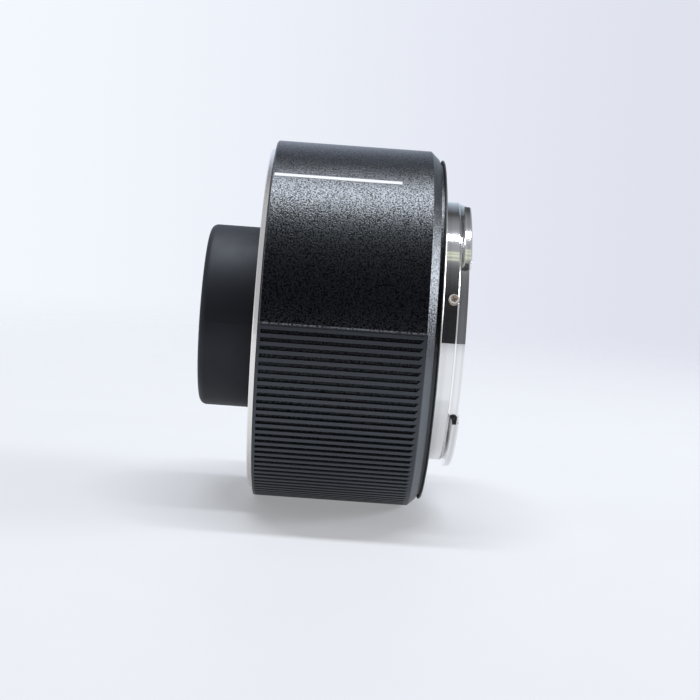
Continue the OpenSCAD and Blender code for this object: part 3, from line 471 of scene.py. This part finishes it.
def printed_strip(front_y, rear_y, angle, width):
    """A thin raised strip of ink along the barrel, for its white line."""
    shape = bmesh.new()
    sweep = width / barrel_r
    start = Matrix.Rotation(-(angle - sweep / 2), 3, "Y")
    corners = [shape.verts.new(start @ Vector((r, y, 0.0)))
               for r, y in ((barrel_r - PRINT_HEIGHT, front_y), (barrel_r + PRINT_HEIGHT, front_y),
                            (barrel_r + PRINT_HEIGHT, rear_y), (barrel_r - PRINT_HEIGHT, rear_y))]
    section = shape.faces.new(corners)
    bmesh.ops.spin(shape, geom=[section], axis=-CENTRE_LINE, cent=(0.0, 0.0, 0.0), angle=sweep, steps=6)
    bmesh.ops.remove_doubles(shape, verts=shape.verts, dist=0.1 * PRINT_HEIGHT)
    bmesh.ops.recalc_face_normals(shape, faces=shape.faces)
    return shape


def shortening_spring(name, node, axis_piece):
    """Copies the part of a node's spring that lies round one piece's axis as an object of its own, and hides the
    node.
    """
    low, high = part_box(axis_piece)
    middle = (low + high) / 2
    shape = bmesh.new()
    shape.from_mesh(frame["nodes"][node].data)
    others = [v for v in shape.verts if math.hypot(v.co.x - middle.x, v.co.z - middle.z) > SPRING_REACH]
    bmesh.ops.delete(shape, geom=others, context="VERTS")
    bmesh.ops.remove_doubles(shape, verts=shape.verts, dist=WELD)
    spring = made_object(name, shape, finishes["spring_steel"])
    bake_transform(spring)
    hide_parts(node)


line_shape = printed_strip(LINE_FRONT_Y, LINE_REAR_Y, LINE_ANGLE, LINE_WIDTH)
white_line = made_object("white_line", line_shape, finishes["white_ink"])
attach(white_line, "body")
for body in frame["bodies"]:
    if body.startswith("contact_pin"):
        shortening_spring(body.replace("pin", "spring"), "contact_springs", body)
shortening_spring("lock_spring", "release_spring", "release_spring")


# Camera

def photo_camera():
    """The fitted camera: on the +X side, a little above the axis, rolled and dipped a little."""
    toward = Vector((math.cos(CAMERA_RISE), 0.0, math.sin(CAMERA_RISE)))
    up = Vector((-math.sin(CAMERA_RISE), 0.0, math.cos(CAMERA_RISE)))
    right = CENTRE_LINE * math.cos(CAMERA_YAW) + toward * math.sin(CAMERA_YAW)
    back = toward * math.cos(CAMERA_YAW) - CENTRE_LINE * math.sin(CAMERA_YAW)
    rolled_right = right * math.cos(CAMERA_ROLL) + up * math.sin(CAMERA_ROLL)
    rolled_up = up * math.cos(CAMERA_ROLL) - right * math.sin(CAMERA_ROLL)
    position = CENTRE_LINE * CAMERA_AIM_Y + back * CAMERA_DISTANCE
    dipped_back = back * math.cos(CAMERA_DIP) + rolled_up * math.sin(CAMERA_DIP)
    dipped_up = rolled_up * math.cos(CAMERA_DIP) - back * math.sin(CAMERA_DIP)
    turn = Matrix((rolled_right, dipped_up, dipped_back)).transposed()
    data = bpy.data.cameras.new("photo_camera")
    data.lens = LENS_MM
    data.sensor_width = 36.0
    data.clip_start = 0.01
    data.clip_end = 50.0
    camera = bpy.data.objects.new("photo_camera", data)
    camera.matrix_world = Matrix.Translation(position) @ turn.to_4x4()
    bpy.context.scene.collection.objects.link(camera)
    bpy.context.scene.camera = camera


# Floor, light and room

def pale_floor():
    """A wide pale floor that fades into the room behind it."""
    shape = bmesh.new()
    bmesh.ops.create_circle(shape, cap_ends=True, radius=2.5, segments=64,
                            matrix=Matrix.Translation((0.0, 0.0, FLOOR_Z)))
    material, shader = new_finish("floor_pale", (0.42, 0.42, 0.425), 0.6)
    shader.inputs["Emission Color"].default_value = (0.97, 0.98, 1.0, 1.0)
    shader.inputs["Emission Strength"].default_value = 0.3
    radius = add(material, "ShaderNodeVectorMath", {0: place(material)}, operation="LENGTH").outputs["Value"]
    speckle = noise(material, place(material), 20 * MM, detail=3.0)
    feed(material, shader.inputs["Base Color"],
         mix_colour(material, speckle, (0.41, 0.41, 0.415), (0.43, 0.43, 0.435)))
    clear = add(material, "ShaderNodeBsdfTransparent").outputs["BSDF"]
    fade = ramp(material, radius, 0.1, 0.42)
    joined = add(material, "ShaderNodeMixShader", {0: fade, 1: shader.outputs["BSDF"], 2: clear})
    output = material.node_tree.nodes["Material Output"]
    feed(material, output.inputs["Surface"], joined.outputs["Shader"])
    floor = made_object("floor", shape, material)


def soft_light(name, position, target, size, power, colour):
    data = bpy.data.lights.new(name, "AREA")
    data.shape = "RECTANGLE"
    data.size, data.size_y = size
    data.energy = power
    data.color = colour
    light = bpy.data.objects.new(name, data)
    light.visible_camera = False
    light.location = position
    light.rotation_euler = (Vector(target) - Vector(position)).to_track_quat("-Z", "Y").to_euler()
    bpy.context.scene.collection.objects.link(light)


def pale_room():
    """A bright room that is dim on the camera's side and darker high up behind the plug."""
    world = bpy.data.worlds.new("pale_room")
    bpy.context.scene.world = world
    world.use_nodes = True
    background = world.node_tree.nodes["Background"]
    parts = add(world, "ShaderNodeSeparateXYZ", {"Vector": add(world, "ShaderNodeTexCoord").outputs["Generated"]})
    x, y, z = parts.outputs
    turn = calc(world, "ARCTAN2", z, x)
    share = calc(world, "ADD", calc(world, "DIVIDE", turn, 2 * math.pi), 0.5)
    round_axis = add(world, "ShaderNodeValToRGB", {"Fac": share})
    stops = round_axis.color_ramp.elements
    for stop, position in zip(stops, (0.0, 1.0)):
        stop.position, stop.color = position, (*BEHIND_COLOUR, 1.0)
    for degrees, level in ROOM_LEVELS:
        stop = stops.new(degrees / 360 + 0.5)
        tint = BEHIND_TINT if degrees > BEHIND_FROM else ROOM_TINT
        stop.color = (*(level * channel for channel in tint), 1.0)
    for middle in LAMP_STRIPES:
        for offset, colour in ((-1.4, LAMP_EDGE), (-1.0, LAMP_GLOW), (1.0, LAMP_GLOW), (1.4, LAMP_EDGE)):
            stop = stops.new((middle + offset * STRIPE_HALF) / 360 + 0.5)
            stop.color = (*colour, 1.0)
    sideways = ramp(world, calc(world, "ABSOLUTE", y), 0.45, 0.8)
    high = ramp(world, turn, math.radians(-25), math.radians(-5))
    side_walls = mix_colour(world, high, SIDE_WALLS_LOW, SIDE_WALLS_HIGH)
    back_wall = mix_colour(world, ramp(world, turn, math.radians(128), math.radians(190)),
                           BACK_WALL_LOW, BACK_WALL_HIGH)
    at_back = calc(world, "MULTIPLY", ramp(world, turn, math.radians(134), math.radians(138)),
                   ramp(world, y, 0.03, 0.07))
    walls = mix_colour(world, at_back, round_axis.outputs["Color"], back_wall)
    lit = mix_colour(world, sideways, walls, side_walls)
    seen_wall = mix_colour(world, ramp(world, y, -0.25, 0.25), SEEN_LEFT, SEEN_RIGHT)
    seen = add(world, "ShaderNodeLightPath").outputs["Is Camera Ray"]
    feed(world, background.inputs["Color"], mix_colour(world, seen, lit, seen_wall))
    background.inputs["Strength"].default_value = 1.0


photo_camera()
pale_floor()
pale_room()
soft_light("ceiling_light", (-0.052, 0.0, 0.848), (0.0, 0.0, 0.0), (0.7, 0.08), 7.2, COOL_WHITE)
soft_light("side_light", (-0.14, 0.86, 0.27), (0.0, 0.0, 0.0), (0.34, 0.34), 6.2, COOL_WHITE)
bpy.context.scene.view_settings.view_transform = "Standard"
